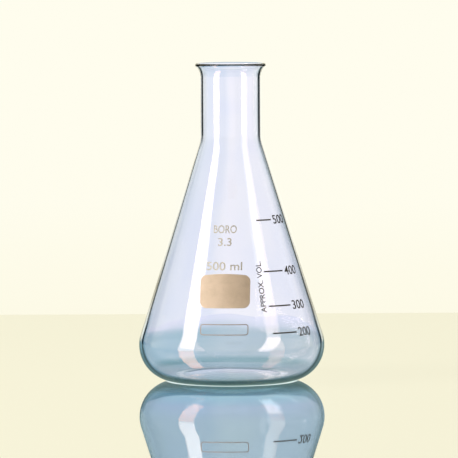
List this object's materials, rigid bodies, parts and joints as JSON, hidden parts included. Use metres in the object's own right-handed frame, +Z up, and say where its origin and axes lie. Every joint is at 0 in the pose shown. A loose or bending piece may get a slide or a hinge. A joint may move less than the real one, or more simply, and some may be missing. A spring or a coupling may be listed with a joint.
{
  "type": "conical flask",
  "caption": "Narrow-neck conical (Erlenmeyer) laboratory flask of clear glass with a flared lip, a flat base, a printed writing panel and a printed volume scale.",
  "frame": {"origin": "centre of the circle that the flask stands on", "axes": "+Z up along the flask's axis, -Y through the middle of the writing panel, +X towards the graduation lines"},
  "size_m": [0.105, 0.105, 0.18],
  "materials": {
    "glass": "clear fire-polished borosilicate glass",
    "label_enamel": "sand-coloured enamel, screen-printed and fired on, matt",
    "scale_enamel": "dark brown enamel, screen-printed and fired on, satin"
  },
  "bodies": {
    "root": {"glass_body": "glass", "writing_panel": "label_enamel", "code_frame": "label_enamel", "graduation_line_200": "scale_enamel", "graduation_line_300": "scale_enamel", "graduation_line_400": "scale_enamel", "graduation_line_500": "scale_enamel"}
  },
  "joints": []
}
